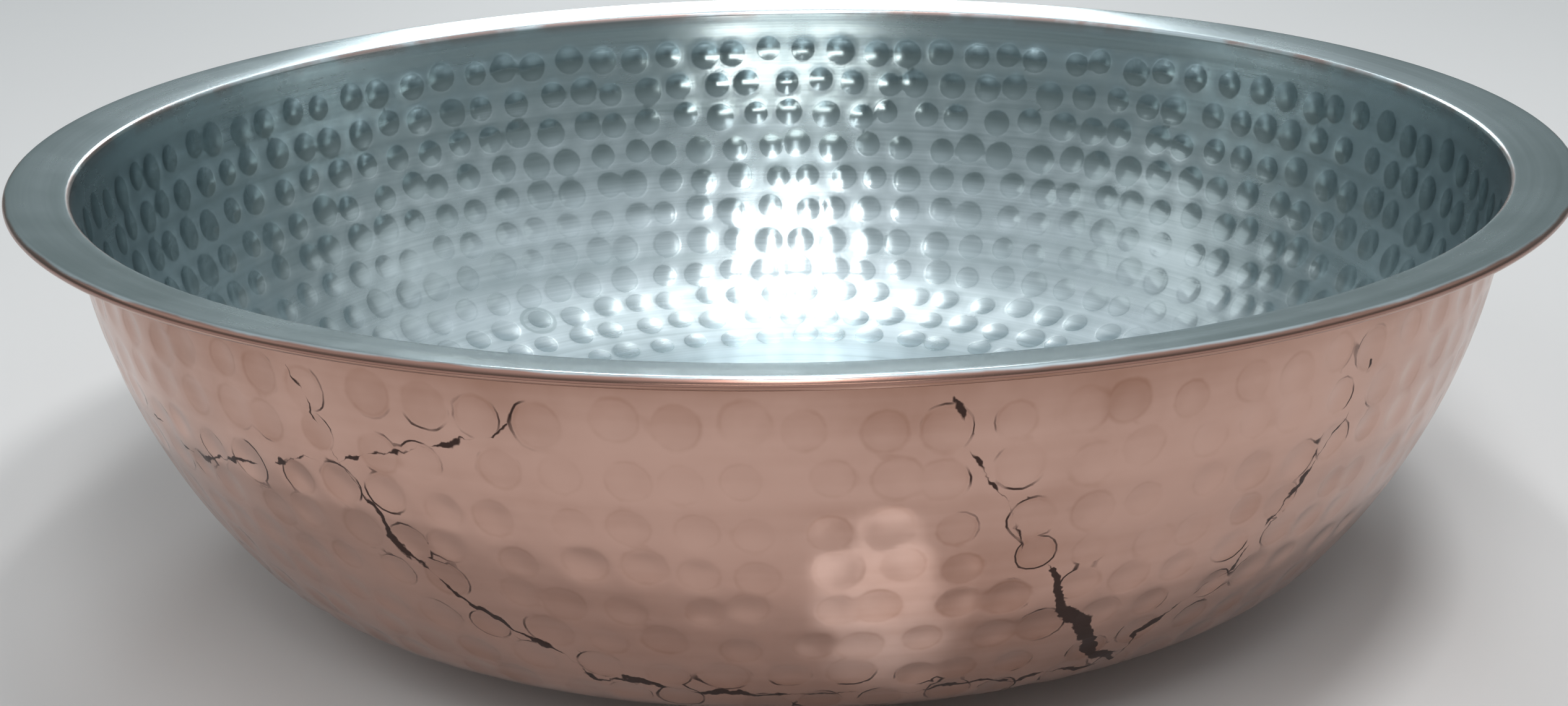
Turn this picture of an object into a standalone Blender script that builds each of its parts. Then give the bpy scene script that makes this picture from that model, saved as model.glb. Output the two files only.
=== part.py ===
"""Hammered copper bowl: one raised copper sheet, its tin lining and the wire in its rolled rim.

Everything follows one line, the outer face of the copper, drawn from the middle of the base out to
the rim. The copper is that line thickened inwards, and the tin lies on the copper a clearance away.
Lengths are in metres and +Z is up. The origin is under the middle of the base, on the table.
"""

import math

import bpy

# Driving dimensions
RIM_RADIUS = 0.200  # to the outside of the rolled edge
RIM_HEIGHT = 0.109  # from the table to the middle of the rolled edge
FLANGE_WIDTH = 0.0146  # from the outside of the wall's mouth to the outside of the rolled edge
FLANGE_SLOPE = math.radians(9)  # the flange rises outwards
MOUTH_BEND = 0.0008  # radius on the copper side, where the wall turns out into the flange
MOUTH_SLOPE = math.radians(88)  # of the wall at its mouth, from the horizontal

BASE_RADIUS = 0.090  # of the flat that the bowl stands on
FOOT_RADIUS = 0.120  # the shallow curve outside the flat
FOOT_SLOPE = math.radians(30)  # where the shallow curve ends
CORNER_RADIUS = 0.020  # the tighter curve between foot and wall
CORNER_SLOPE = math.radians(53.5)  # where the wall begins
WALL_FULLNESS = 0.34  # handle length of the wall's curve, as a share of its chord

SHEET = 0.0007  # thickness of the copper
TIN = 0.0003  # thickness of the lining
TIN_CLEARANCE = 0.0003  # between the copper and the lining
WIRE_RADIUS = 0.00045
WIRE_CLEARANCE = 0.00025  # between the wire and the copper rolled round it
CURL = math.radians(280)  # how far the edge is rolled round the wire

STEPS = 64  # straight sides round a full turn
WIRE_SIDES = 8

# Worked out from them
ROLL_INSIDE = WIRE_RADIUS + WIRE_CLEARANCE  # radius of the copper's face against the wire
ROLL_CENTRE = (RIM_RADIUS - ROLL_INSIDE - SHEET, RIM_HEIGHT)  # the wire in the section
MOUTH_RADIUS = RIM_RADIUS - FLANGE_WIDTH

# Colour, roughness and metallic value of each piece
FINISHES = {
    "copper_body": ((0.66, 0.36, 0.27), 0.30, 1.0),
    "tin_lining": ((0.52, 0.58, 0.60), 0.38, 1.0),
    "rim_wire": ((0.30, 0.29, 0.28), 0.55, 1.0),
}


def facing(slope):
    """Unit vector square to a line that rises at this slope, towards the inside of the bowl."""
    return -math.sin(slope), math.cos(slope)


def arc(centre, radius, start, end, count):
    """Points (r, z, slope) round a bend, where start and end are the line's slopes there.

    The centre is inside the bowl for a positive radius and outside it for a negative one.
    """
    points = []
    for i in range(count + 1):
        slope = start + (end - start) * i / count
        across, up = facing(slope)
        points.append((centre[0] - radius * across, centre[1] - radius * up, slope))
    return points


def wall(start, end, count):
    """Points (r, z, slope) of the cubic curve between two such points, both left out."""
    handle = WALL_FULLNESS * math.dist(start[:2], end[:2])
    p0, p3 = start[:2], end[:2]
    p1 = (p0[0] + handle * math.cos(start[2]), p0[1] + handle * math.sin(start[2]))
    p2 = (p3[0] - handle * math.cos(end[2]), p3[1] - handle * math.sin(end[2]))
    points = []
    for i in range(1, count):
        t = i / count
        s = 1 - t
        r, z = (
            s**3 * a + 3 * s * s * t * b + 3 * s * t * t * c + t**3 * d
            for a, b, c, d in zip(p0, p1, p2, p3)
        )
        along, rise = (
            s * s * (b - a) + 2 * s * t * (c - b) + t * t * (d - c)
            for a, b, c, d in zip(p0, p1, p2, p3)
        )
        points.append((r, z, math.atan2(rise, along)))
    return points


def floor_line():
    """The copper's outer face from the axis to where the wall begins."""
    foot = arc((BASE_RADIUS, FOOT_RADIUS), FOOT_RADIUS, 0.0, FOOT_SLOPE, 4)
    r, z, slope = foot[-1]
    across, up = facing(slope)
    corner_centre = (r + CORNER_RADIUS * across, z + CORNER_RADIUS * up)
    corner = arc(corner_centre, CORNER_RADIUS, FOOT_SLOPE, CORNER_SLOPE, 3)
    return [(0.0, 0.0, 0.0)] + foot + corner[1:]


def mouth_line():
    """The bend at the wall's mouth, which ends where the flat of the flange begins."""
    centre_r = MOUTH_RADIUS + MOUTH_BEND * math.sin(MOUTH_SLOPE)
    # A line through the bend's centre, level with the flange, passes this far over the wire's middle.
    over = ROLL_INSIDE - MOUTH_BEND
    across, up = facing(FLANGE_SLOPE)
    flat_run = ROLL_CENTRE[0] + over * across - centre_r
    centre_z = ROLL_CENTRE[1] + over * up - flat_run * math.tan(FLANGE_SLOPE)
    return arc((centre_r, centre_z), -MOUTH_BEND, MOUTH_SLOPE, FLANGE_SLOPE, 3)


def curl_line():
    """The copper's face against the wire, from the end of the flange round to the sheet's edge."""
    return arc(ROLL_CENTRE, -ROLL_INSIDE, FLANGE_SLOPE, FLANGE_SLOPE - CURL, 9)


def sheet_outline(line, near, far):
    """The section of a sheet that lies between two distances inside the line.

    It runs out along the sheet's inner face and comes back to the axis down its outer face.
    """

    def face(distance):
        return [
            (r + distance * facing(slope)[0], z + distance * facing(slope)[1])
            for r, z, slope in line
        ]

    return face(far) + face(near)[::-1]


def finish(obj, collection):
    """Shade the piece smooth, give it its own material and put it in the bowl's collection."""
    obj.data.shade_smooth()
    colour, roughness, metallic = FINISHES[obj.name]
    material = bpy.data.materials.new(obj.name)
    material.use_nodes = True
    shader = material.node_tree.nodes["Principled BSDF"]
    shader.inputs["Base Color"].default_value = (*colour, 1.0)
    shader.inputs["Roughness"].default_value = roughness
    shader.inputs["Metallic"].default_value = metallic
    obj.data.materials.append(material)
    for holder in obj.users_collection:
        holder.objects.unlink(obj)
    collection.objects.link(obj)


def turned(name, outline, collection):
    """A solid of revolution from an open outline that starts and ends on the axis."""
    mesh = bpy.data.meshes.new(name)
    edges = [(i, i + 1) for i in range(len(outline) - 1)]
    mesh.from_pydata([(r, 0.0, z) for r, z in outline], edges, [])
    obj = bpy.data.objects.new(name, mesh)
    screw = obj.modifiers.new("Turn", "SCREW")
    screw.axis = "Z"
    screw.angle = math.tau
    screw.steps = screw.render_steps = STEPS
    screw.use_merge_vertices = True
    screw.merge_threshold = 0.00005
    screw.use_smooth_shade = True
    finish(obj, collection)


def wire_ring(name, collection):
    """The rim wire, with its sides in step with those of the turned pieces."""
    radius, height = ROLL_CENTRE
    bpy.ops.mesh.primitive_torus_add(
        major_segments=STEPS,
        minor_segments=WIRE_SIDES,
        major_radius=radius,
        minor_radius=WIRE_RADIUS,
        location=(0.0, 0.0, height),
    )
    ring = bpy.context.object
    ring.name = ring.data.name = name
    finish(ring, collection)


def main():
    for obj in list(bpy.data.objects):
        bpy.data.objects.remove(obj)
    bowl = bpy.data.collections.new("hammered_copper_bowl")
    bpy.context.scene.collection.children.link(bowl)

    floor, mouth, curl = floor_line(), mouth_line(), curl_line()
    to_flange_end = floor + wall(floor[-1], mouth[0], 7) + mouth + curl[:1]
    turned("copper_body", sheet_outline(to_flange_end + curl[1:], 0.0, SHEET), bowl)
    tin_back = SHEET + TIN_CLEARANCE
    turned("tin_lining", sheet_outline(to_flange_end, tin_back, tin_back + TIN), bowl)
    wire_ring("rim_wire", bowl)


main()
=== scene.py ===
"""Hammered copper bowl: the copper sheet, its tin lining, the wire in its rim and a plain stage.

Lengths are in metres and +Z is up. The origin is on the table, under the middle of the base.
"""

import math

import bmesh
import bpy
from bpy.props import FloatProperty, FloatVectorProperty, IntProperty, PointerProperty
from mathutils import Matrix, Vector


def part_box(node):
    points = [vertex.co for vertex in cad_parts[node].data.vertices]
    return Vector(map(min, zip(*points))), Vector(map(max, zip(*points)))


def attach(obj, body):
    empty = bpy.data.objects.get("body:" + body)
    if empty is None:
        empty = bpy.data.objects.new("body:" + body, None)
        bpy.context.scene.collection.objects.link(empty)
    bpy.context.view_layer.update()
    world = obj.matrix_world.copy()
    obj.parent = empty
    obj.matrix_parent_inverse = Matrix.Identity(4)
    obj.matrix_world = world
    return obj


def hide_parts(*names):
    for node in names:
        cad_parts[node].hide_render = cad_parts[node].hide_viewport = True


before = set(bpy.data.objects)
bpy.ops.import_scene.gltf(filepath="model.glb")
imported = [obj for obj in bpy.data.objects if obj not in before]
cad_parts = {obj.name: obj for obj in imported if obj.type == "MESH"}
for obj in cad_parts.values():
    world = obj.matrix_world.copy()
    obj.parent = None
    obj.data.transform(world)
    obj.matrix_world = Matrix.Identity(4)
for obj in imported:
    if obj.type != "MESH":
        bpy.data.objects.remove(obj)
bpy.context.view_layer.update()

bl_info = {
    "name": "Hammered Copper Bowl",
    "version": (1, 0, 0),
    "blender": (4, 5, 0),
    "location": "3D View > Sidebar > Bowl",
    "description": "Builds a hammered copper bowl with a tin lining and a rolled rim",
    "category": "Add Mesh",
}

COPPER_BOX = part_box("copper_body")
WIRE_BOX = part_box("rim_wire")
RIM_RADIUS = COPPER_BOX[1][0]
WIRE_HEIGHT = (WIRE_BOX[0][2] + WIRE_BOX[1][2]) / 2
BODY = "root"


# Sizes and colours


def length(name, value, description):
    """A length in metres that a user may change."""
    return FloatProperty(
        name=name, default=value, min=0.0, unit="LENGTH", precision=5, description=description
    )


def angle(name, value, description):
    """An angle in degrees that a user may change, kept in radians."""
    return FloatProperty(
        name=name, default=math.radians(value), unit="ROTATION", description=description
    )


def share(name, value, description):
    """A plain number from 0 to 1 that a user may change."""
    return FloatProperty(
        name=name, default=value, min=0.0, max=1.0, subtype="FACTOR", description=description
    )


def colour(name, value, description):
    """A linear colour that a user may change."""
    return FloatVectorProperty(
        name=name, default=value, size=3, min=0.0, max=1.0, subtype="COLOR", description=description
    )


def whole(name, value, description):
    """A count that a user may change."""
    return IntProperty(name=name, default=value, min=0, description=description)


class BowlShape(bpy.types.PropertyGroup):
    """The section of the bowl, which the copper and the lining share."""

    rim_radius: length("Rim Radius", RIM_RADIUS, "To the outside of the rolled edge")
    wire_height: length("Wire Height", WIRE_HEIGHT, "From the table to the middle of the rolled edge")
    bead_radius: length("Bead Radius", 0.0014, "Of the rolled edge, with the tin on it")
    flange_width: length("Flange Width", 0.0146, "From the wall's mouth to the outside of the edge")
    flange_slope: angle("Flange Slope", 9, "How steeply the flange rises outwards")
    mouth_bend: length("Mouth Bend", 0.0008, "Radius where the wall turns out into the flange")
    mouth_slope: angle("Mouth Slope", 88, "Slope of the wall at its mouth")
    base_radius: length("Base Radius", 0.090, "Of the flat that the bowl stands on")
    foot_radius: length("Foot Radius", 0.120, "Of the shallow curve outside the flat")
    foot_slope: angle("Foot Slope", 30, "Slope where the shallow curve ends")
    corner_radius: length("Corner Radius", 0.020, "Of the tighter curve between foot and wall")
    corner_slope: angle("Corner Slope", 53.5, "Slope where the wall begins")
    wall_fullness: share("Wall Fullness", 0.34, "Handle length of the wall's curve over its chord")
    sheet: length("Sheet", 0.0007, "Thickness of the copper")
    film: length("Tin Film", 0.0001, "Thickness of the tin where it ends on the rolled edge")
    copper_back: length("Copper Back", 0.00058, "Depth of the copper's hidden face in the bowl")
    tin_back: length("Tin Back", 0.00062, "Depth of the tin's hidden face in the bowl")
    lining_depth: length("Lining Depth", 0.0013, "From the copper's outer face to the tin's face")
    plain_band: length("Plain Band", 0.009, "Height of the wall above the hammer marks")
    flange_crown: length("Flange Crown", 0.00014, "How far the middle of the flange is bowed up")
    curl: angle("Curl", 280, "How far the edge is rolled round the wire")
    tin_end: angle("Tin End", 100, "Where the tin ends on the rolled edge, from its top")


class LiningSettings(bpy.types.PropertyGroup):
    """The hammer marks and the finish of the tin lining."""

    columns: whole("Columns", 660, "Faces round the lining")
    first_row: length("First Row", 0.0127, "From the mouth down to the first row of marks")
    rows: whole("Rows", 11, "Level rows of marks")
    row_pitch: length("Row Pitch", 0.0113, "Between rows, along the wall")
    spacing: length("Spacing", 0.0123, "Between marks in a row")
    mark_radius: length("Mark Radius", 0.0050, "Of one hammer mark")
    depth: length("Depth", 0.00056, "Of one hammer mark")
    low_depth: share("Low Depth", 0.45, "Depth left in the lowest row, as a share of the top row's")
    unevenness: share("Unevenness", 0.16, "How far marks stray, as a share of their spacing")
    seed: whole("Seed", 7, "Picks the pattern of uneven marks")
    bright: colour("Bright Tin", (0.68, 0.75, 0.78), "Where the tin is rubbed bright")
    # Also paints the shade in the marks high on the wall and round each mark's edge.
    dull_and_shade_tin: colour("Dull Tin", (0.40, 0.465, 0.48), "Where the tin has greyed")
    worn: colour("Worn Edge", (0.36, 0.20, 0.16), "Copper showing where the tin has worn off the edge")


class CopperSettings(bpy.types.PropertyGroup):
    """The hammer marks and the finish of the copper outside."""

    columns: whole("Columns", 630, "Faces round the copper")
    first_row: length("First Row", 0.0127, "From the mouth down to the first row of marks")
    rows: whole("Rows", 11, "Level rows of marks")
    row_pitch: length("Row Pitch", 0.0113, "Between rows, along the wall")
    spacing: length("Spacing", 0.0130, "Between marks in a row")
    mark_radius: length("Mark Radius", 0.0052, "Of one hammer mark")
    depth: length("Depth", 0.00049, "Of one hammer mark")
    low_depth: share("Low Depth", 0.85, "Depth left in the lowest row, as a share of the top row's")
    unevenness: share("Unevenness", 0.22, "How far marks stray, as a share of their spacing")
    seed: whole("Seed", 21, "Picks the pattern of uneven marks")
    bright: colour("Bright Copper", (0.57, 0.365, 0.30), "Where the copper is polished")
    # Also paints the shade low on the bowl, under the flange and round each mark's edge, as well as the
    # copper's own darker clouds.
    brown_and_painted_shade: colour("Brown Copper", (0.33, 0.175, 0.125), "Where the copper has darkened")
    # Painted reflection: the colour of the thin dark lines that stand in for reflected floor joints.
    painted_reflection: colour("Painted Reflection", (0.06, 0.035, 0.03), "The thin dark lines of tarnish")


class StageSettings(bpy.types.PropertyGroup):
    """The camera, the lights and the floor."""

    lens: FloatProperty(name="Lens", default=45.8, unit="CAMERA", description="Focal length")
    floor_size: length("Floor Size", 12.0, "Side of the floor")
    floor: colour("Floor", (0.80, 0.80, 0.80), "Pale matt floor")
    air: colour("High Air", (0.82, 0.88, 0.92), "Light from straight above")
    low_air: colour("Low Air", (0.125, 0.155, 0.155), "Light from level with the floor")


# The section of the bowl


def facing(slope):
    """Unit vector square to a line that rises at this slope, towards the inside of the bowl."""
    return -math.sin(slope), math.cos(slope)


def arc(centre, radius, start, end, count):
    """Points (r, z, slope) round a bend, whose centre is inside the bowl for a positive radius."""
    points = []
    for i in range(count + 1):
        slope = start + (end - start) * i / count
        across, up = facing(slope)
        points.append((centre[0] - radius * across, centre[1] - radius * up, slope))
    return points


def straight(start, end, stops):
    """Points (r, z, slope) at these shares of the way from one such point to another."""
    return [
        (start[0] + (end[0] - start[0]) * t, start[1] + (end[1] - start[1]) * t, start[2])
        for t in stops
    ]


def wall(start, end, fullness, count):
    """Points (r, z, slope) of the cubic curve between two such points, both left out."""
    handle = fullness * math.dist(start[:2], end[:2])
    p0, p3 = start[:2], end[:2]
    p1 = (p0[0] + handle * math.cos(start[2]), p0[1] + handle * math.sin(start[2]))
    p2 = (p3[0] - handle * math.cos(end[2]), p3[1] - handle * math.sin(end[2]))
    points = []
    for i in range(1, count):
        t = i / count
        s = 1 - t
        r, z = (
            s**3 * a + 3 * s * s * t * b + 3 * s * t * t * c + t**3 * d
            for a, b, c, d in zip(p0, p1, p2, p3)
        )
        along, rise = (
            s * s * (b - a) + 2 * s * t * (c - b) + t * t * (d - c)
            for a, b, c, d in zip(p0, p1, p2, p3)
        )
        points.append((r, z, math.atan2(rise, along)))
    return points


def rolled(shape, radius, start, end, count):
    """Points of the rolled edge at this radius from the wire's middle."""
    centre = (shape.rim_radius - shape.bead_radius, shape.wire_height)
    return arc(centre, -radius, start, end, count)


def roll_inside(shape):
    """Radius of the copper's face against the wire."""
    return shape.bead_radius - shape.film - shape.sheet


def mouth_line(shape, bends=5, stops=8):
    """The copper's outer face where the wall turns out, and along the flange to the rolled edge."""
    centre_r = shape.rim_radius - shape.flange_width + shape.mouth_bend * math.sin(shape.mouth_slope)
    # A line through the bend's centre, level with the flange, passes this far over the wire's middle.
    over = roll_inside(shape) - shape.mouth_bend
    across, up = facing(shape.flange_slope)
    middle_r = shape.rim_radius - shape.bead_radius
    flat_run = middle_r + over * across - centre_r
    centre_z = shape.wire_height + over * up - flat_run * math.tan(shape.flange_slope)
    bend = arc(
        (centre_r, centre_z), -shape.mouth_bend, shape.mouth_slope, shape.flange_slope, bends
    )
    edge = rolled(shape, roll_inside(shape), shape.flange_slope, 0.0, 1)[0]
    flange = []
    for r, z, slope in straight(bend[-1], edge, [i / stops for i in range(1, stops + 1)]):
        t = (r - bend[-1][0]) / (edge[0] - bend[-1][0])
        flange.append((r, z + 4 * shape.flange_crown * t * (1 - t), slope))
    return bend + flange


# Steps along the flat, the inner and outer parts of the foot, the corner and the wall. A hidden
# face has fewer, but enough to stay behind the deepest hammer marks.
WORKED_STEPS = (3, 4, 22, 6, 56)
HIDDEN_STEPS = (1, 2, 3, 2, 16)
HIDDEN_MOUTH = (2, 4)  # steps along the hidden side of the mouth's bend and of the flange
CURL_STEPS = 18  # round the outside of the rolled edge
CURL_STEPS_INSIDE = 6
TIN_STEPS = 10  # round the tin on the rolled edge
TIN_STEPS_UNDER = 5
INNER_FOOT = 0.42  # the inner part of the foot, as a share of the foot's slope


def bowl_line(shape, steps):
    """The copper's outer face from the axis to the top of the wall."""
    centre = (shape.base_radius, shape.foot_radius)
    half_way = INNER_FOOT * shape.foot_slope
    foot = arc(centre, shape.foot_radius, 0.0, half_way, steps[1])
    foot += arc(centre, shape.foot_radius, half_way, shape.foot_slope, steps[2])[1:]
    r, z, slope = foot[-1]
    across, up = facing(slope)
    corner_centre = (r + shape.corner_radius * across, z + shape.corner_radius * up)
    corner = arc(corner_centre, shape.corner_radius, slope, shape.corner_slope, steps[3])[1:]
    flat = straight((0.0, 0.0, 0.0), foot[0], [i / steps[0] for i in range(steps[0])])
    floor = flat + foot + corner
    return floor + wall(floor[-1], mouth_line(shape)[0], shape.wall_fullness, steps[4])


def moved(line, distance):
    """The points (r, z) of a line, moved this far towards the inside of the bowl."""
    return [(r + distance * facing(s)[0], z + distance * facing(s)[1]) for r, z, s in line]


def worked_face(shape, in_bowl, at_mouth):
    """The hammered face from the mouth down to the axis, at two distances inside the copper's face."""
    line = bowl_line(shape, WORKED_STEPS) + mouth_line(shape)[:1]
    top = line[-1][1]
    points = []
    for point in line[::-1]:
        drop = min((top - point[1]) / shape.plain_band, 1.0)
        ease = drop * drop * (3 - 2 * drop)
        points += moved([point], at_mouth + (in_bowl - at_mouth) * ease)
    return points


def copper_outline(shape):
    """The copper's closed section, which starts down its outer face from the mouth."""
    mouth, flat = mouth_line(shape), shape.flange_slope
    inside = roll_inside(shape)
    hidden = moved(bowl_line(shape, HIDDEN_STEPS), shape.copper_back)
    over = moved(mouth_line(shape, *HIDDEN_MOUTH), shape.sheet)
    outer = moved(rolled(shape, inside + shape.sheet, flat, flat - shape.curl, CURL_STEPS), 0.0)
    inner = moved(rolled(shape, inside, flat - shape.curl, flat, CURL_STEPS_INSIDE), 0.0)
    return hidden + over + outer[1:] + inner + moved(mouth[-2::-1], 0.0)


FILM_GAP = 0.3  # the gap between copper and tin on the flange, as a share of the film


def tin_outline(shape):
    """The tin's closed section, which starts down its worked face from the mouth."""
    mouth, flat = mouth_line(shape), shape.flange_slope
    face = shape.sheet + shape.film
    back = shape.sheet + FILM_GAP * shape.film
    inside = roll_inside(shape)
    hidden = moved(bowl_line(shape, HIDDEN_STEPS), shape.tin_back)
    under = moved(rolled(shape, inside + back, flat, -shape.tin_end, TIN_STEPS_UNDER), 0.0)
    over = moved(rolled(shape, inside + face, -shape.tin_end, flat, TIN_STEPS), 0.0)
    behind = moved(mouth_line(shape, *HIDDEN_MOUTH), back)
    return hidden + behind + under[1:] + over + moved(mouth[-2::-1], face)


# Nodes


def add(tree, kind, sockets=None, **settings):
    """A new node, with its settings made and its inputs linked or set."""
    node = tree.nodes.new(kind)
    for key, value in settings.items():
        setattr(node, key, value)
    for key, value in (sockets or {}).items():
        socket = node.inputs[key]
        if isinstance(value, bpy.types.NodeSocket):
            tree.links.new(value, socket)
        else:
            socket.default_value = value
    return node


def maths(tree, operation, *values, clamp=False):
    """The result of a Math node."""
    sockets = dict(enumerate(values))
    return add(tree, "ShaderNodeMath", sockets, operation=operation, use_clamp=clamp).outputs[0]


def total(tree, first, *others):
    """The sum of several numbers."""
    for other in others:
        first = maths(tree, "ADD", first, other)
    return first


def times(tree, first, *others):
    """The product of several numbers."""
    for other in others:
        first = maths(tree, "MULTIPLY", first, other)
    return first


def off_by(tree, value, level):
    """How far a number is from a level, either way."""
    return maths(tree, "ABSOLUTE", maths(tree, "SUBTRACT", value, level))


def vector_maths(tree, operation, *values, output="Vector"):
    """The result of a Vector Math node."""
    node = add(tree, "ShaderNodeVectorMath", dict(enumerate(values)), operation=operation)
    return node.outputs[output]


def scaled(tree, vector, amount):
    """A vector made longer or shorter."""
    node = add(tree, "ShaderNodeVectorMath", {0: vector, "Scale": amount}, operation="SCALE")
    return node.outputs["Vector"]


def combine(tree, x, y, z):
    """A vector from three numbers."""
    return add(tree, "ShaderNodeCombineXYZ", {0: x, 1: y, 2: z}).outputs[0]


def separate(tree, vector):
    """The three numbers of a vector, by the names X, Y and Z."""
    return add(tree, "ShaderNodeSeparateXYZ", {0: vector}).outputs


def spread(tree, value, low, high, to_low=0.0, to_high=1.0, smooth=True):
    """A number carried from one range to another."""
    sockets = {0: value, 1: low, 2: high, 3: to_low, 4: to_high}
    kind = "SMOOTHSTEP" if smooth else "LINEAR"
    return add(tree, "ShaderNodeMapRange", sockets, interpolation_type=kind).outputs[0]


def noise(tree, vector, scale, detail=2.0, roughness=0.5, output="Fac"):
    """A noise pattern."""
    sockets = {"Vector": vector, "Scale": scale, "Detail": detail, "Roughness": roughness}
    return add(tree, "ShaderNodeTexNoise", sockets).outputs[output]


def blend_colours(tree, factor, first, second):
    """Two colours mixed, where either may be a socket or a plain colour."""
    node = add(tree, "ShaderNodeMix", data_type="RGBA")
    for index, value in ((0, factor), (6, first), (7, second)):
        socket = node.inputs[index]
        if isinstance(value, bpy.types.NodeSocket):
            tree.links.new(value, socket)
        else:
            socket.default_value = (*value, 1.0)
    return node.outputs[2]


def position(tree):
    """Where each point is."""
    return add(tree, "GeometryNodeInputPosition").outputs[0]


def turned(tree, vector, angle):
    """A place carried round Z."""
    sockets = {"Vector": vector, "Angle": angle}
    return add(tree, "ShaderNodeVectorRotate", sockets, rotation_type="Z_AXIS").outputs[0]


def store(tree, geometry, name, value, kind="FLOAT"):
    """The geometry, with a named value kept at each point."""
    sockets = {"Geometry": geometry, "Name": name, "Value": value}
    node = add(
        tree, "GeometryNodeStoreNamedAttribute", sockets, data_type=kind, domain="POINT"
    )
    return node.outputs[0]


def read(tree, name, kind="FLOAT"):
    """A named value that the geometry keeps."""
    return add(tree, "GeometryNodeInputNamedAttribute", {"Name": name}, data_type=kind).outputs[0]


def sample(tree, geometry, value, index, kind="FLOAT"):
    """A value at one point of some geometry."""
    sockets = {"Geometry": geometry, "Value": value, "Index": index}
    return add(
        tree, "GeometryNodeSampleIndex", sockets, data_type=kind, domain="POINT"
    ).outputs[0]


# Turning and hammering

HAMMER_INPUTS = {
    "Columns": "Int",
    "Face Points": "Int",
    "Outside": "Bool",
    "First Row": "Float",
    "Rows": "Int",
    "Row Pitch": "Float",
    "Spacing": "Float",
    "Mark Radius": "Float",
    "Depth": "Float",
    "Low Depth": "Float",
    "Unevenness": "Float",
    "Seed": "Int",
    "Material": "Material",
}
# Each kind of unevenness adds its own number to the seed.
TURN_DRAW, DRIFT_DRAW, SIZE_DRAW, SHADE_DRAW, DEPTH_DRAW = 1, 2, 3, 4, 5
ROW_TWIST = 0.37  # how far round each row starts from the row above, as a share of the spacing
DRIFT_SHARE = 0.6  # how far blows stray up and down, against how far they stray round
SIZE_RANGE = (0.86, 1.10)  # of a mark, as a share of the mark radius
DEPTH_RANGE = (0.65, 1.15)  # of a mark, as a share of the depth
OUTLINE_SCALE = 160.0  # of the noise that makes the outline of a mark uneven
OUTLINE_RANGE = (0.86, 1.14)
DEEP_SHARE = 0.5  # of the way down the rows, before the marks grow shallower
FAR = 4.0  # the most that a place counts as away from a mark, in mark radii


def chance(tree, given, low, high, draw):
    """An even random number for each blow."""
    seed = maths(tree, "ADD", given["Seed"], float(draw))
    sockets = {2: low, 3: high, "Seed": seed}
    return add(tree, "FunctionNodeRandomValue", sockets, data_type="FLOAT").outputs[1]


def turned_sheet(tree, given):
    """The section turned round Z: a grid with a column to a side and a row to a point, laid on it."""
    place = position(tree)
    size = add(tree, "GeometryNodeAttributeDomainSize", {0: given["Section"]}, component="MESH")
    points = size.outputs["Point Count"]
    last = maths(tree, "SUBTRACT", points, 1.0)
    grid = add(
        tree,
        "GeometryNodeMeshGrid",
        {
            "Size X": given["Columns"],
            "Size Y": last,
            "Vertices X": maths(tree, "ADD", given["Columns"], 1.0),
            "Vertices Y": points,
        },
    ).outputs[0]
    spot = separate(tree, place)
    column = total(tree, spot["X"], maths(tree, "DIVIDE", given["Columns"], 2.0))
    ring = maths(tree, "ROUND", total(tree, spot["Y"], maths(tree, "DIVIDE", last, 2.0)))
    on_face = maths(tree, "LESS_THAN", ring, given["Face Points"])
    flat = store(tree, grid, "worked", on_face)
    section_place = sample(tree, given["Section"], place, ring, "FLOAT_VECTOR")
    turn = times(tree, maths(tree, "DIVIDE", column, given["Columns"]), math.tau)
    laid = add(
        tree,
        "GeometryNodeSetPosition",
        {"Geometry": flat, "Position": turned(tree, section_place, turn)},
    ).outputs[0]
    merged = add(
        tree, "GeometryNodeMergeByDistance", {"Geometry": laid, "Distance": 0.00001}
    ).outputs[0]
    sockets = {"Mesh": merged, "Selection": given["Outside"]}
    return add(tree, "GeometryNodeFlipFaces", sockets).outputs[0]


def placed_blows(tree, given):
    """A point for each blow: even steps down the worked face, each repeated round its row."""
    place = position(tree)
    line = add(tree, "GeometryNodeMeshToCurve", {"Mesh": given["Section"]}).outputs[0]
    run = times(tree, maths(tree, "SUBTRACT", given["Rows"], 1.0), given["Row Pitch"])
    span = add(
        tree,
        "GeometryNodeTrimCurve",
        {"Curve": line, 4: given["First Row"], 5: total(tree, given["First Row"], run)},
        mode="LENGTH",
    ).outputs[0]
    sockets = {"Curve": span, "Count": given["Rows"]}
    rows = add(tree, "GeometryNodeCurveToPoints", sockets, mode="COUNT").outputs
    blows = store(tree, rows["Points"], "along", rows["Tangent"], "FLOAT_VECTOR")
    blows = store(tree, blows, "row", add(tree, "GeometryNodeInputIndex").outputs[0])
    round_row = times(tree, separate(tree, place)["X"], math.tau)
    number = maths(tree, "ROUND", maths(tree, "DIVIDE", round_row, given["Spacing"]))
    sockets = {"Geometry": blows, "Amount": number}
    repeat = add(tree, "GeometryNodeDuplicateElements", sockets, domain="POINT").outputs

    stray = times(tree, given["Unevenness"], chance(tree, given, -1.0, 1.0, TURN_DRAW))
    twist = times(tree, read(tree, "row"), ROW_TWIST)
    step = total(tree, repeat["Duplicate Index"], stray, twist)
    turn = times(tree, maths(tree, "DIVIDE", step, number), math.tau)
    up_or_down = chance(tree, given, -DRIFT_SHARE, DRIFT_SHARE, DRIFT_DRAW)
    drift = times(tree, given["Unevenness"], up_or_down, given["Spacing"])
    drift = scaled(tree, read(tree, "along", "FLOAT_VECTOR"), drift)
    blow_place = turned(tree, vector_maths(tree, "ADD", place, drift), turn)
    sockets = {"Geometry": repeat[0], "Position": blow_place}
    return add(tree, "GeometryNodeSetPosition", sockets).outputs[0]


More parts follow.
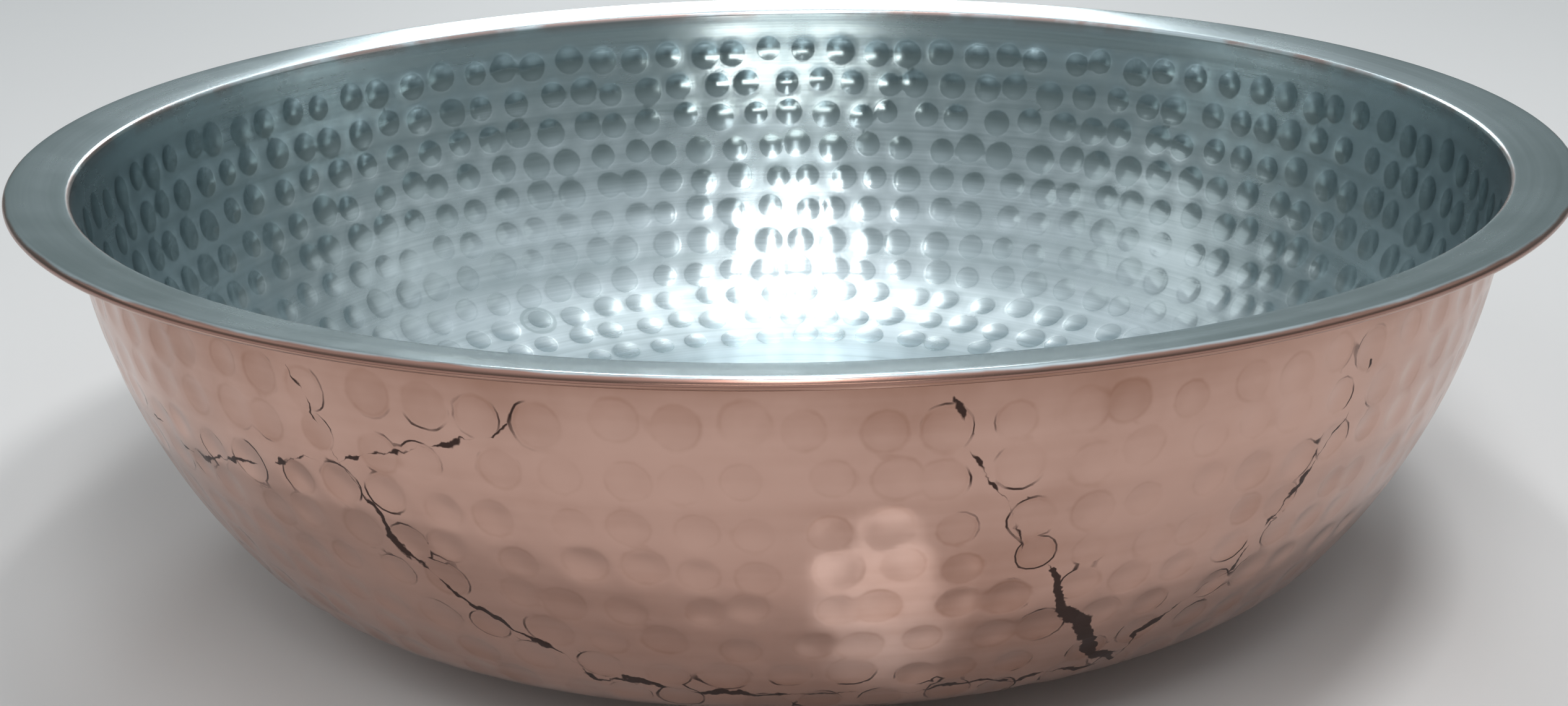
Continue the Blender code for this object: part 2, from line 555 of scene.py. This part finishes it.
def sunk_marks(tree, given, sheet, blows):
    """The sheet, each point of which looks for its nearest blow and sinks by how near it is."""
    place = position(tree)
    nearest = add(tree, "GeometryNodeSampleNearest", {"Geometry": blows}, domain="POINT").outputs[0]

    def of_blow(value, kind="FLOAT"):
        """A value of the nearest blow."""
        return sample(tree, blows, value, nearest, kind)

    gap = vector_maths(tree, "DISTANCE", place, of_blow(place, "FLOAT_VECTOR"), output="Value")
    uneven = noise(tree, place, OUTLINE_SCALE)
    uneven = spread(tree, uneven, 0.0, 1.0, *OUTLINE_RANGE, smooth=False)
    size = of_blow(chance(tree, given, *SIZE_RANGE, SIZE_DRAW))
    away = maths(tree, "DIVIDE", gap, times(tree, given["Mark Radius"], size, uneven))
    off_face = maths(tree, "SUBTRACT", 1.0, read(tree, "worked"))
    away = maths(tree, "MINIMUM", total(tree, away, times(tree, FAR, off_face)), FAR)
    sheet = store(tree, sheet, "mark", away)
    sheet = store(tree, sheet, "mark_shade", of_blow(chance(tree, given, 0.0, 1.0, SHADE_DRAW)))

    dish = maths(tree, "SUBTRACT", 1.0, maths(tree, "POWER", read(tree, "mark"), 2.0))
    dish = maths(tree, "MAXIMUM", dish, 0.0)
    depth = times(tree, given["Depth"], of_blow(chance(tree, given, *DEPTH_RANGE, DEPTH_DRAW)))
    last = maths(tree, "SUBTRACT", given["Rows"], 1.0)
    down = maths(tree, "DIVIDE", of_blow(read(tree, "row")), last)
    shallower = spread(tree, down, DEEP_SHARE, 1.0, 1.0, given["Low Depth"])
    sink = times(tree, depth, shallower, dish, -1.0)
    offset = scaled(tree, add(tree, "GeometryNodeInputNormal").outputs[0], sink)
    return add(tree, "GeometryNodeSetPosition", {"Geometry": sheet, "Offset": offset}).outputs[0]


def turn_and_hammer():
    """The tree that turns a section round Z and sinks level rows of hammer marks into one face."""
    tree = bpy.data.node_groups.new("Turn and Hammer", "GeometryNodeTree")
    face = tree.interface
    face.new_socket("Section", in_out="INPUT", socket_type="NodeSocketGeometry")
    for name, kind in HAMMER_INPUTS.items():
        face.new_socket(name, in_out="INPUT", socket_type="NodeSocket" + kind)
    face.new_socket("Sheet", in_out="OUTPUT", socket_type="NodeSocketGeometry")
    given = add(tree, "NodeGroupInput").outputs
    sheet = sunk_marks(tree, given, turned_sheet(tree, given), placed_blows(tree, given))
    for kind, sockets in (
        ("GeometryNodeRemoveAttribute", {"Name": "worked"}),
        ("GeometryNodeSetShadeSmooth", {}),
        ("GeometryNodeRealizeInstances", {}),
        ("GeometryNodeSetMaterial", {"Material": given["Material"]}),
    ):
        sheet = add(tree, kind, {"Geometry": sheet, **sockets}).outputs[0]
    add(tree, "NodeGroupOutput", {0: sheet})
    return tree


def run_tree(piece, tree, values):
    """Run a tree on a piece, and give the piece the mesh that comes out."""
    modifier = piece.modifiers.new(tree.name, "NODES")
    modifier.node_group = tree
    for item in tree.interface.items_tree:
        if item.in_out == "INPUT" and item.name in values:
            modifier[item.identifier] = values[item.name]
    bpy.context.view_layer.update()
    made = piece.evaluated_get(bpy.context.evaluated_depsgraph_get())
    mesh = bpy.data.meshes.new_from_object(made)
    piece.modifiers.remove(modifier)
    piece.data = mesh
    mesh.name = piece.name


def close_up(piece):
    """Face every side outwards, and refuse a mesh with an open edge."""
    work = bmesh.new()
    work.from_mesh(piece.data)
    # The section's step across the axis leaves one edge with no face.
    bmesh.ops.delete(work, geom=[edge for edge in work.edges if edge.is_wire], context="EDGES")
    bmesh.ops.recalc_face_normals(work, faces=work.faces)
    open_edges = sum(not edge.is_manifold for edge in work.edges)
    work.to_mesh(piece.data)
    work.free()
    if open_edges:
        raise RuntimeError(f"{piece.name} has {open_edges} open edges")


def hammered_piece(name, face, rest, outside, settings, material):
    """A closed sheet turned from its section, with the hammer marks sunk into its worked face."""
    section = face + rest
    mesh = bpy.data.meshes.new(name)
    edges = [(i, i + 1) for i in range(len(section) - 1)]
    mesh.from_pydata([(r, 0.0, z) for r, z in section], edges, [])
    piece = bpy.data.objects.new(name, mesh)
    bpy.context.scene.collection.objects.link(piece)
    values = {
        "Columns": settings.columns,
        "Face Points": len(face),
        "Outside": outside,
        "First Row": settings.first_row,
        "Rows": settings.rows,
        "Row Pitch": settings.row_pitch,
        "Spacing": settings.spacing,
        "Mark Radius": settings.mark_radius,
        "Depth": settings.depth,
        "Low Depth": settings.low_depth,
        "Unevenness": settings.unevenness,
        "Seed": settings.seed,
        "Material": material,
    }
    run_tree(piece, bpy.data.node_groups.get("Turn and Hammer") or turn_and_hammer(), values)
    close_up(piece)
    return piece


# Finishes

BUMP_DISTANCE = 0.00003
BUMP_STRENGTH = 0.5
LIP_HEIGHT = 0.7  # of the lip round a mark, in bump distances


def new_finish(name, metallic=1.0):
    """An empty finish: its material, tree and shader."""
    material = bpy.data.materials.new(name)
    material.use_nodes = True
    tree = material.node_tree
    shader = tree.nodes["Principled BSDF"]
    shader.inputs["Metallic"].default_value = metallic
    return material, tree, shader


def finish(tree, shader, **looks):
    """Link each of these looks to the shader."""
    for name, value in looks.items():
        tree.links.new(value, shader.inputs[name.replace("_", " ").title()])


def bumpy(tree, height, distance=BUMP_DISTANCE, strength=BUMP_STRENGTH):
    """The way that a surface faces once this relief is on it."""
    sockets = {"Strength": strength, "Distance": distance, "Height": height}
    return add(tree, "ShaderNodeBump", sockets).outputs[0]


def object_place(tree):
    """The place on the piece."""
    return add(tree, "ShaderNodeTexCoord").outputs["Object"]


def lathe_place(tree):
    """The place on the piece, and the same place as distance from the axis and height."""
    place = object_place(tree)
    axes = separate(tree, place)
    flat = combine(tree, axes["X"], axes["Y"], 0.0)
    return place, vector_maths(tree, "LENGTH", flat, output="Value"), axes["Z"]


def lathe_lines(tree, place, radius, height, width, run):
    """Noise drawn out round the bowl, with lines about this wide and this long."""
    stretch = width / run
    axes = separate(tree, place)
    across = total(tree, times(tree, axes["X"], stretch), radius)
    vector = combine(tree, across, times(tree, axes["Y"], stretch), height)
    return noise(tree, vector, 1.0 / width)


def kept(tree, name):
    """A named value that the piece keeps at each point."""
    return add(tree, "ShaderNodeAttribute", attribute_name=name).outputs["Fac"]


def mark_edge_shade(tree, place, mark, strength):
    """A broken ring of painted shade round the edge of each hammer mark."""
    ring = spread(tree, off_by(tree, mark, 0.90), 0.02, 0.15, strength, 0.0)
    return times(tree, ring, spread(tree, noise(tree, place, 130.0), 0.38, 0.62))


def mark_lip(tree, mark):
    """The fine raised lip round each hammer mark, which sharpens its edge."""
    return spread(tree, off_by(tree, mark, 1.0), 0.0, 0.16, LIP_HEIGHT, 0.0)


# A drop that dried low on the wall left one faint round stain, darkest at its rim.
STAIN_PLACE = (-0.086, 0.117, 0.0165)
STAIN_RADIUS = 0.0070
STAIN_RAGGED = 0.002
STAIN_DULL = 0.30
STAIN_RIM_DULL = 0.45


def old_stain(tree, place, clouds):
    """How much the stain dulls a place."""
    away = vector_maths(tree, "DISTANCE", place, STAIN_PLACE, output="Value")
    away = total(tree, away, times(tree, clouds, STAIN_RAGGED))
    inside = spread(tree, away, STAIN_RADIUS - 0.0004, STAIN_RADIUS + 0.0012, STAIN_DULL, 0.0)
    rim = spread(tree, off_by(tree, away, STAIN_RADIUS), 0.0002, 0.0008, STAIN_RIM_DULL, 0.0)
    return total(tree, inside, rim)


WEAR_START = math.radians(14)  # how far round the rolled edge the tin starts to wear, from its top
WEAR_END = math.radians(46)
WEAR_RAGGED = 1.1  # radians
BEND_WEAR = 0.75
BEND_DROP = 0.006  # how far below the rolled edge the bend may be


def worn_edge(tree, shape, place, radius, height):
    """Where the tin is worn off the rolled edge, further down in some places than in others."""
    out = maths(tree, "SUBTRACT", radius, shape.rim_radius - shape.bead_radius)
    up = maths(tree, "SUBTRACT", height, shape.wire_height)
    ragged = times(tree, noise(tree, place, 60.0, detail=5.0), WEAR_RAGGED)
    turn = total(tree, maths(tree, "ARCTAN2", out, up), ragged)
    turn = maths(tree, "SUBTRACT", turn, WEAR_RAGGED / 2)
    on_edge = maths(tree, "GREATER_THAN", out, -0.0004)
    return times(tree, spread(tree, turn, WEAR_START, WEAR_END), on_edge)


def worn_bend(tree, shape, place, radius, height):
    """Where a thin line of copper shows along the bend at the wall's mouth."""
    bend_radius = shape.rim_radius - shape.flange_width - 0.0003
    line = spread(tree, off_by(tree, radius, bend_radius), 0.0002, 0.0008, BEND_WEAR, 0.0)
    high = maths(tree, "GREATER_THAN", height, shape.wire_height - BEND_DROP)
    broken = spread(tree, noise(tree, place, 40.0, detail=4.0), 0.38, 0.56)
    return times(tree, line, high, broken)


def tin_finish(shape, look):
    """Wiped tin, satin and grey, with lathe lines and duller clouds, and painted shade in the marks high
    on the wall and round each mark's edge.
    """
    material, tree, shader = new_finish("wiped_tin")
    place, radius, height = lathe_place(tree)
    fine = lathe_lines(tree, place, radius, height, width=0.0009, run=0.08)
    broad = lathe_lines(tree, place, radius, height, width=0.0040, run=0.20)
    clouds = noise(tree, place, 22.0, detail=4.0, roughness=0.6)
    grain = noise(tree, place, 900.0, detail=3.0)
    mark = kept(tree, "mark")
    in_mark = spread(tree, mark, 0.85, 1.0, 1.0, 0.0)

    dullness_and_shade = total(
        tree, times(tree, clouds, 0.7), times(tree, broad, 0.5), times(tree, fine, 0.25)
    )
    # Painted shade: marks high on the wall are painted darker than low ones, standing in for the dark
    # reflections in them, and no two are quite alike in tone.
    mark_shade_and_tone = spread(tree, height, 0.035, 0.070, 0.02, 0.30)
    mark_shade_and_tone = total(tree, mark_shade_and_tone, times(tree, kept(tree, "mark_shade"), 0.06))
    # Painted shade round the edge of each mark.
    edge_shade = mark_edge_shade(tree, place, mark, 0.08)
    dullness_and_shade = total(tree, dullness_and_shade, times(tree, in_mark, mark_shade_and_tone), edge_shade)
    dullness_and_shade = spread(tree, dullness_and_shade, 0.45, 1.05)
    dullness_and_shade = total(tree, dullness_and_shade, old_stain(tree, place, clouds))
    base = blend_colours(tree, dullness_and_shade, tuple(look.bright), tuple(look.dull_and_shade_tin))
    for wear in (worn_edge, worn_bend):
        worn = wear(tree, shape, place, radius, height)
        base = blend_colours(tree, worn, base, tuple(look.worn))

    # The tin is smoother in the marks and rougher near the floor of the bowl.
    rough = total(tree, spread(tree, clouds, 0.3, 0.7, 0.17, 0.26), times(tree, fine, 0.05))
    rough = maths(tree, "SUBTRACT", rough, times(tree, in_mark, 0.09))
    rough = total(tree, rough, spread(tree, height, 0.004, 0.045, 0.09, 0.0))

    relief = total(
        tree, times(tree, fine, 0.5), times(tree, broad, 0.5), times(tree, grain, 0.1)
    )
    relief = total(tree, relief, mark_lip(tree, mark))
    finish(tree, shader, base_color=base, roughness=rough, normal=bumpy(tree, relief))
    return material


# Painted reflection: thin dark lines, standing in for the reflected joints of a tiled floor, run over
# the outside through these places, in degrees round from the front and millimetres above the table. The
# first number of each run is the half width in millimetres.
REFLECTION_LINE_RUNS = (
    (0.20, (-54, 67), (-46, 66), (-34, 76), (-30, 77)),
    (0.35, (-30, 77), (-28, 63), (-24, 48), (-20, 38), (-15, 28), (-9, 25), (5, 23), (14, 24), (26, 21)),
    (0.16, (-30, 77), (-24, 86), (-17, 93)),
    (0.18, (-30, 77), (-32, 90), (-33, 99)),
    (0.22, (9, 99), (10, 89), (12, 79), (15, 65), (17, 56)),
    (1.10, (17, 56), (19, 46), (21, 37), (26, 21)),
    (0.22, (41, 91), (40, 80), (37, 65), (33, 44), (27, 31), (26, 21)),
)
REFLECTION_LINE_RADIUS = 0.172  # of the outside, about half way up
REFLECTION_LINE_WANDER = ((70.0, 0.010), (420.0, 0.0022))  # scale of the noise, and how far it pushes a line


def gap_to_run(tree, spot, start, end):
    """How far a spot is from the straight line between two others."""
    run = tuple(b - a for a, b in zip(start, end))
    square = sum(c * c for c in run)
    from_start = vector_maths(tree, "SUBTRACT", spot, start)
    per_run = tuple(c / square for c in run)
    part = vector_maths(tree, "DOT_PRODUCT", from_start, per_run, output="Value")
    part = maths(tree, "MULTIPLY", part, 1.0, clamp=True)
    foot = vector_maths(tree, "MULTIPLY", run, combine(tree, part, part, part))
    return vector_maths(tree, "DISTANCE", from_start, foot, output="Value")


def painted_reflection_lines(tree, place, mark):
    """How strongly the painted reflection, thin dark lines and loops standing in for reflected floor
    joints, shows at a place on the outside.
    """
    axes = separate(tree, place)
    from_front = maths(tree, "ARCTAN2", axes["X"], times(tree, axes["Y"], -1.0))
    spot = combine(tree, times(tree, from_front, REFLECTION_LINE_RADIUS), axes["Z"], 0.0)
    for scale, stray in REFLECTION_LINE_WANDER:
        push = noise(tree, place, scale, output="Color")
        push = vector_maths(tree, "SUBTRACT", push, (0.5, 0.5, 0.5))
        push = vector_maths(tree, "MULTIPLY", push, (stray, stray, 0.0))
        spot = vector_maths(tree, "ADD", spot, push)
    nearest = 1.0
    for half_width, *stops in REFLECTION_LINE_RUNS:
        places = [(math.radians(turn) * REFLECTION_LINE_RADIUS, up / 1000, 0.0) for turn, up in stops]
        for start, end in zip(places, places[1:]):
            gap = maths(tree, "SUBTRACT", gap_to_run(tree, spot, start, end), half_width / 1000)
            nearest = maths(tree, "MINIMUM", nearest, gap)
    patchy = noise(tree, place, 110.0, detail=3.0)
    width = spread(tree, patchy, 0.35, 0.70, -0.0005, 0.0005)
    lines = spread(tree, maths(tree, "SUBTRACT", nearest, width), -0.0001, 0.0003, 1.0, 0.0)
    # Close to a line, the edges of the hammer marks are painted dark too, as part of the painted
    # reflection.
    loop = spread(tree, off_by(tree, mark, 1.0), 0.02, 0.07, 1.0, 0.0)
    near = spread(tree, nearest, 0.003, 0.010, 1.0, 0.0)
    broken = spread(tree, noise(tree, place, 95.0), 0.46, 0.60)
    return maths(tree, "MAXIMUM", lines, times(tree, loop, near, broken))


def copper_finish(look):
    """Polished copper, with faint lathe lines, darker clouds, painted shade low down and under the
    flange, and painted reflection lines.
    """
    material, tree, shader = new_finish("hammered_copper")
    place, radius, height = lathe_place(tree)
    fine = lathe_lines(tree, place, radius, height, width=0.0008, run=0.06)
    broad = lathe_lines(tree, place, radius, height, width=0.0050, run=0.15)
    clouds = noise(tree, place, 16.0, detail=5.0, roughness=0.62)
    grain = noise(tree, place, 1200.0, detail=3.0)
    mark = kept(tree, "mark")

    # Painted shade: the copper is painted darker low on the bowl, where the reflected shadow under it
    # falls, and under the flange, where its shade falls, and in a ring of painted shade round each
    # mark's edge. Each mark also gets its own random darker tone, and the middles of the marks are
    # painted a little lighter.
    low = spread(tree, height, 0.004, 0.036, 0.50, 0.0)
    high = spread(tree, height, 0.088, 0.106, 0.0, 0.30)
    in_mark = times(tree, spread(tree, mark, 0.85, 1.0, 0.12, 0.0), kept(tree, "mark_shade"))
    in_mark = total(tree, mark_edge_shade(tree, place, mark, 0.08), in_mark)
    in_mark = maths(tree, "SUBTRACT", in_mark, spread(tree, mark, 0.2, 0.8, 0.03, 0.0))
    brown_and_painted_shade = total(tree, times(tree, clouds, 0.9), times(tree, broad, 0.35))
    brown_and_painted_shade = total(tree, brown_and_painted_shade, total(tree, low, high), in_mark)
    brown_and_painted_shade = spread(tree, brown_and_painted_shade, 0.50, 1.20)
    base = blend_colours(tree, brown_and_painted_shade, tuple(look.bright), tuple(look.brown_and_painted_shade))
    # Painted reflection: thin dark lines laid over the copper.
    reflected_lines = painted_reflection_lines(tree, place, mark)
    base = blend_colours(tree, reflected_lines, base, tuple(look.painted_reflection))

    rough = total(tree, spread(tree, clouds, 0.3, 0.7, 0.13, 0.19), times(tree, fine, 0.05))
    rough = total(tree, rough, times(tree, reflected_lines, 0.25))

    relief = total(
        tree, times(tree, fine, 0.4), times(tree, broad, 0.1), times(tree, grain, 0.12)
    )
    relief = total(tree, relief, mark_lip(tree, mark))
    finish(tree, shader, base_color=base, roughness=rough, normal=bumpy(tree, relief))
    return material


IRON = (0.32, 0.31, 0.30)
RUST = (0.16, 0.11, 0.08)


def wire_finish():
    """Drawn iron wire, dark and slightly rough."""
    material, tree, shader = new_finish("iron_wire")
    specks = noise(tree, object_place(tree), 700.0, detail=4.0)
    base = blend_colours(tree, spread(tree, specks, 0.4, 0.7), IRON, RUST)
    rough = spread(tree, specks, 0.3, 0.7, 0.40, 0.65)
    relief = bumpy(tree, specks, distance=0.00002, strength=0.4)
    finish(tree, shader, base_color=base, roughness=rough, normal=relief)
    return material


# Stage

FLOOR_DROP = 0.0001  # the floor lies just under the bowl
FLOOR_SHADE = 0.97  # of the floor's darker clouds

# Name, place, aim, width and depth, power in watts, colour, and whether metal mirrors the light
LIGHTS = (
    ("overhead", (0.0, 0.45, 1.50), (0.0, 0.42, 0.0), (0.12, 0.9), 3.5, (1.0, 1.0, 1.0), True),
    ("high_front", (0.0, -0.85, 1.50), (0.0, 0.10, 0.0), (0.30, 1.0), 6.0, (1.0, 1.0, 1.0), True),
    ("front", (0.0, -1.85, 1.45), (0.0, 0.0, 0.1), (0.24, 1.2), 2.2, (0.93, 0.98, 1.0), True),
    ("low_front", (0.0, -2.20, 0.40), (0.0, 0.0, 0.1), (1.20, 0.25), 3.4, (0.96, 1.0, 0.97), True),
    ("behind", (-0.05, 2.30, 1.10), (0.0, 0.0, 0.1), (0.75, 0.40), 10.5, (0.90, 0.97, 1.0), True),
    ("left", (-2.1, 0.1, 1.25), (0.0, 0.0, 0.1), (1.8, 0.8), 1.6, (0.95, 1.0, 1.0), True),
    ("right", (2.1, 0.1, 1.25), (0.0, 0.0, 0.1), (1.8, 0.8), 0.8, (0.95, 1.0, 1.0), True),
    ("key", (0.50, -0.28, 1.80), (0.0, 0.0, 0.0), (0.30, 0.30), 10.0, (1.0, 1.0, 1.0), False),
    ("left_fill", (-1.6, -1.2, 1.6), (0.0, 0.0, 0.0), (1.6, 1.6), 11.0, (1.0, 1.0, 1.0), False),
    ("right_fill", (1.6, -0.6, 1.6), (0.0, 0.0, 0.0), (1.6, 1.6), 2.5, (1.0, 1.0, 1.0), False),
)
# A spot puts a small pool of light on the floor, which the copper mirrors.
SPOT_PLACE = (0.10, -0.95, 0.50)
SPOT_AIM = (0.028, -0.195, 0.0)
SPOT_CONE = math.radians(3.3)
SPOT_POWER = 50.0
SPOT_COLOUR = (0.80, 0.93, 1.0)

AIR_RISE = 1.5  # how slowly the air brightens from the floor upwards
REAR_SHADE = 0.14  # how much darker the air is low down behind the bowl
AIR_STRENGTH = 1.2
MATT_SHARE = 0.22  # strength of the air where it falls on matt surfaces

CAMERA_PLACE = (0.0, -0.5289, 0.2324)
CAMERA_TURN = (70.404, 0.870, -0.074)  # degrees
SENSOR_WIDTH = 36.0  # millimetres


def floor_finish(look):
    """A pale matt floor, very slightly clouded."""
    material, tree, shader = new_finish("pale_floor", metallic=0.0)
    shader.inputs["Roughness"].default_value = 0.6
    clouds = noise(tree, object_place(tree), 3.0)
    pale = tuple(look.floor)
    base = blend_colours(tree, clouds, pale, tuple(FLOOR_SHADE * part for part in pale))
    finish(tree, shader, base_color=base)
    return material


def make_floor(look):
    """Lay the floor, which stays on the stage and out of the part."""
    half = look.floor_size / 2
    mesh = bpy.data.meshes.new("floor")
    corners = [(-half, -half), (half, -half), (half, half), (-half, half)]
    mesh.from_pydata([(x, y, -FLOOR_DROP) for x, y in corners], [], [(0, 1, 2, 3)])
    mesh.materials.append(floor_finish(look))
    floor = bpy.data.objects.new("floor", mesh)
    bpy.context.scene.collection.objects.link(floor)


def make_air(look):
    """Light the scene from all round, brighter from above than from the sides."""
    world = bpy.data.worlds.new("studio")
    bpy.context.scene.world = world
    world.use_nodes = True
    tree = world.node_tree
    back = tree.nodes["Background"]
    axes = separate(tree, add(tree, "ShaderNodeTexCoord").outputs["Generated"])
    rise = maths(tree, "POWER", maths(tree, "MAXIMUM", axes["Z"], 0.0), AIR_RISE)
    rear = times(tree, maths(tree, "MAXIMUM", axes["Y"], 0.0), REAR_SHADE)
    rise = maths(tree, "SUBTRACT", rise, rear)
    tone = blend_colours(tree, rise, tuple(look.low_air), tuple(look.air))
    matt = add(tree, "ShaderNodeLightPath").outputs["Is Diffuse Ray"]
    strength = spread(tree, matt, 0.0, 1.0, AIR_STRENGTH, MATT_SHARE)
    finish(tree, back, color=tone, strength=strength)


def put_light(light, place, aim, power, tint, mirrored):
    """Place a light in the scene with its face to the aim."""
    light.energy = power
    light.color = tint
    lamp = bpy.data.objects.new(light.name, light)
    lamp.location = place
    lamp.rotation_euler = (Vector(aim) - Vector(place)).to_track_quat("-Z", "Y").to_euler()
    lamp.visible_glossy = mirrored
    bpy.context.scene.collection.objects.link(lamp)


def make_lights():
    """Put up the soft lights and the spot."""
    for name, place, aim, size, power, tint, mirrored in LIGHTS:
        light = bpy.data.lights.new(name, "AREA")
        light.shape = "RECTANGLE"
        light.size, light.size_y = size
        put_light(light, place, aim, power, tint, mirrored)
    spot = bpy.data.lights.new("pool", "SPOT")
    spot.spot_size = SPOT_CONE
    spot.spot_blend = 1.0
    put_light(spot, SPOT_PLACE, SPOT_AIM, SPOT_POWER, SPOT_COLOUR, False)


def make_camera(look):
    """Set up the camera in front of the bowl, a little above it."""
    scene = bpy.context.scene
    lens = bpy.data.cameras.new("camera")
    lens.lens = look.lens
    lens.sensor_width = SENSOR_WIDTH
    lens.clip_start = 0.01
    camera = bpy.data.objects.new("camera", lens)
    camera.location = CAMERA_PLACE
    camera.rotation_euler = [math.radians(turn) for turn in CAMERA_TURN]
    scene.collection.objects.link(camera)
    scene.camera = camera
    scene.view_settings.view_transform = "Standard"


# Operators


class BOWL_OT_copper(bpy.types.Operator):
    """Make the copper sheet with its flange and rolled edge"""

    bl_idname = "bowl.make_copper"
    bl_label = "Copper Sheet"

    def execute(self, context):
        shape, look = context.scene.bowl_shape, context.scene.bowl_copper
        piece = hammered_piece(
            "hammered_copper",
            worked_face(shape, 0.0, 0.0),
            copper_outline(shape),
            True,
            look,
            copper_finish(look),
        )
        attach(piece, BODY)
        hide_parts("copper_body")
        return {"FINISHED"}


class BOWL_OT_lining(bpy.types.Operator):
    """Make the tin lining with its hammer marks and its wiped edge"""

    bl_idname = "bowl.make_lining"
    bl_label = "Tin Lining"

    def execute(self, context):
        shape, look = context.scene.bowl_shape, context.scene.bowl_lining
        piece = hammered_piece(
            "hammered_lining",
            worked_face(shape, shape.lining_depth, shape.sheet + shape.film),
            tin_outline(shape),
            False,
            look,
            tin_finish(shape, look),
        )
        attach(piece, BODY)
        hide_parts("tin_lining")
        return {"FINISHED"}


class BOWL_OT_wire(bpy.types.Operator):
    """Give the wire in the rolled edge its finish"""

    bl_idname = "bowl.finish_wire"
    bl_label = "Rim Wire"

    def execute(self, context):
        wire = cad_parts["rim_wire"]
        wire.data.materials.clear()
        wire.data.materials.append(wire_finish())
        return {"FINISHED"}


class BOWL_OT_stage(bpy.types.Operator):
    """Make the floor, the lights and the camera"""

    bl_idname = "bowl.make_stage"
    bl_label = "Stage"

    def execute(self, context):
        look = context.scene.bowl_stage
        make_floor(look)
        make_air(look)
        make_lights()
        make_camera(look)
        return {"FINISHED"}


class BOWL_PT_panel(bpy.types.Panel):
    """Lists the bowl's sizes, finishes and pieces"""

    bl_label = "Hammered Copper Bowl"
    bl_idname = "BOWL_PT_panel"
    bl_space_type = "VIEW_3D"
    bl_region_type = "UI"
    bl_category = "Bowl"

    def draw(self, context):
        for holder in ("bowl_shape", "bowl_copper", "bowl_lining", "bowl_stage"):
            settings = getattr(context.scene, holder)
            box = self.layout.box()
            for name in settings.bl_rna.properties.keys():
                if name not in ("rna_type", "name"):
                    box.prop(settings, name)
        for operator in OPERATORS:
            self.layout.operator(operator.bl_idname)


SETTINGS = {
    "bowl_shape": BowlShape,
    "bowl_copper": CopperSettings,
    "bowl_lining": LiningSettings,
    "bowl_stage": StageSettings,
}
OPERATORS = (BOWL_OT_copper, BOWL_OT_lining, BOWL_OT_wire, BOWL_OT_stage)


def register():
    for name, group in SETTINGS.items():
        bpy.utils.register_class(group)
        setattr(bpy.types.Scene, name, PointerProperty(type=group))
    for kind in (*OPERATORS, BOWL_PT_panel):
        bpy.utils.register_class(kind)


def unregister():
    for kind in (BOWL_PT_panel, *OPERATORS[::-1]):
        bpy.utils.unregister_class(kind)
    for name, group in SETTINGS.items():
        delattr(bpy.types.Scene, name)
        bpy.utils.unregister_class(group)


def main():
    register()
    bpy.ops.bowl.make_copper()
    bpy.ops.bowl.make_lining()
    bpy.ops.bowl.finish_wire()
    bpy.ops.bowl.make_stage()


if __name__ == "__main__":
    main()
